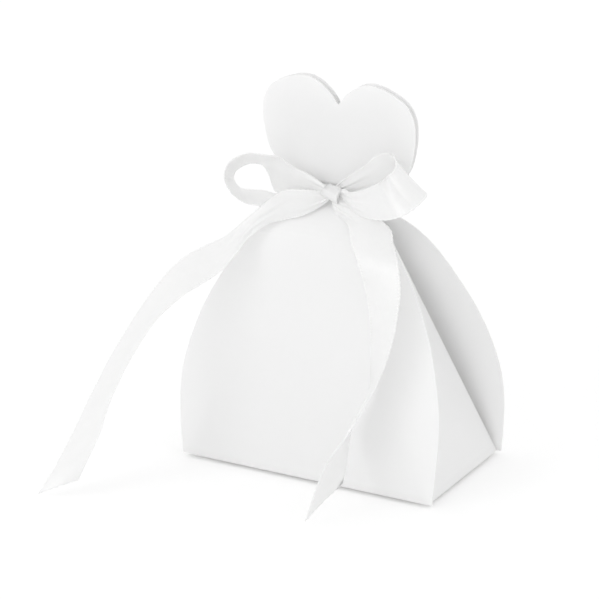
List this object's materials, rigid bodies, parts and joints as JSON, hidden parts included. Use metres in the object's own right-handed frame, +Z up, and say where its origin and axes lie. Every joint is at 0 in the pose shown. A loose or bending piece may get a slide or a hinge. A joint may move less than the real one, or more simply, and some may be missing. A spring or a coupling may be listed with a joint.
{
  "type": "favor box",
  "caption": "Favor box folded from white card in the shape of a wedding gown, with a heart over the waist and a satin ribbon bow; the panels and side flaps fold open.",
  "frame": {"origin": "middle of the underside of the base, on the surface that the box stands on", "axes": "+X to the right of the front panel, +Y from the front panel to the back panel, +Z up from the base to the hearts"},
  "size_m": [0.102, 0.0879, 0.1119],
  "materials": {
    "card": "smooth white card with a faint pearl sheen",
    "satin_ribbon": "white satin weave with small picot edges"
  },
  "bodies": {
    "base": {"base_panel": "card"},
    "front": {"front_panel": "card", "front_heart": "card", "ribbon_knot": "satin_ribbon", "ribbon_left_loop": "satin_ribbon", "ribbon_right_loop": "satin_ribbon", "ribbon_left_tail": "satin_ribbon", "ribbon_right_tail": "satin_ribbon", "ribbon_band_front": "satin_ribbon"},
    "back": {"back_panel": "card", "back_heart": "card", "ribbon_band_back": "satin_ribbon"},
    "left_side": {"left_flap": "card"},
    "right_side": {"right_flap": "card"}
  },
  "joints": [
    {"name": "front_crease", "type": "hinge", "parent": "base", "child": "front", "pos_m": [0, -0.02155, 0.0002], "axis": [1, 0, 0], "range_deg": [0, 90]},
    {"name": "back_crease", "type": "hinge", "parent": "base", "child": "back", "pos_m": [0, 0.02155, 0.0002], "axis": [-1, 0, 0], "range_deg": [0, 90]},
    {"name": "left_crease", "type": "hinge", "parent": "base", "child": "left_side", "pos_m": [-0.0386, 0, 0.0002], "axis": [0, -1, 0], "range_deg": [0, 110]},
    {"name": "right_crease", "type": "hinge", "parent": "base", "child": "right_side", "pos_m": [0.0386, 0, 0.0002], "axis": [0, 1, 0], "range_deg": [0, 110]}
  ]
}
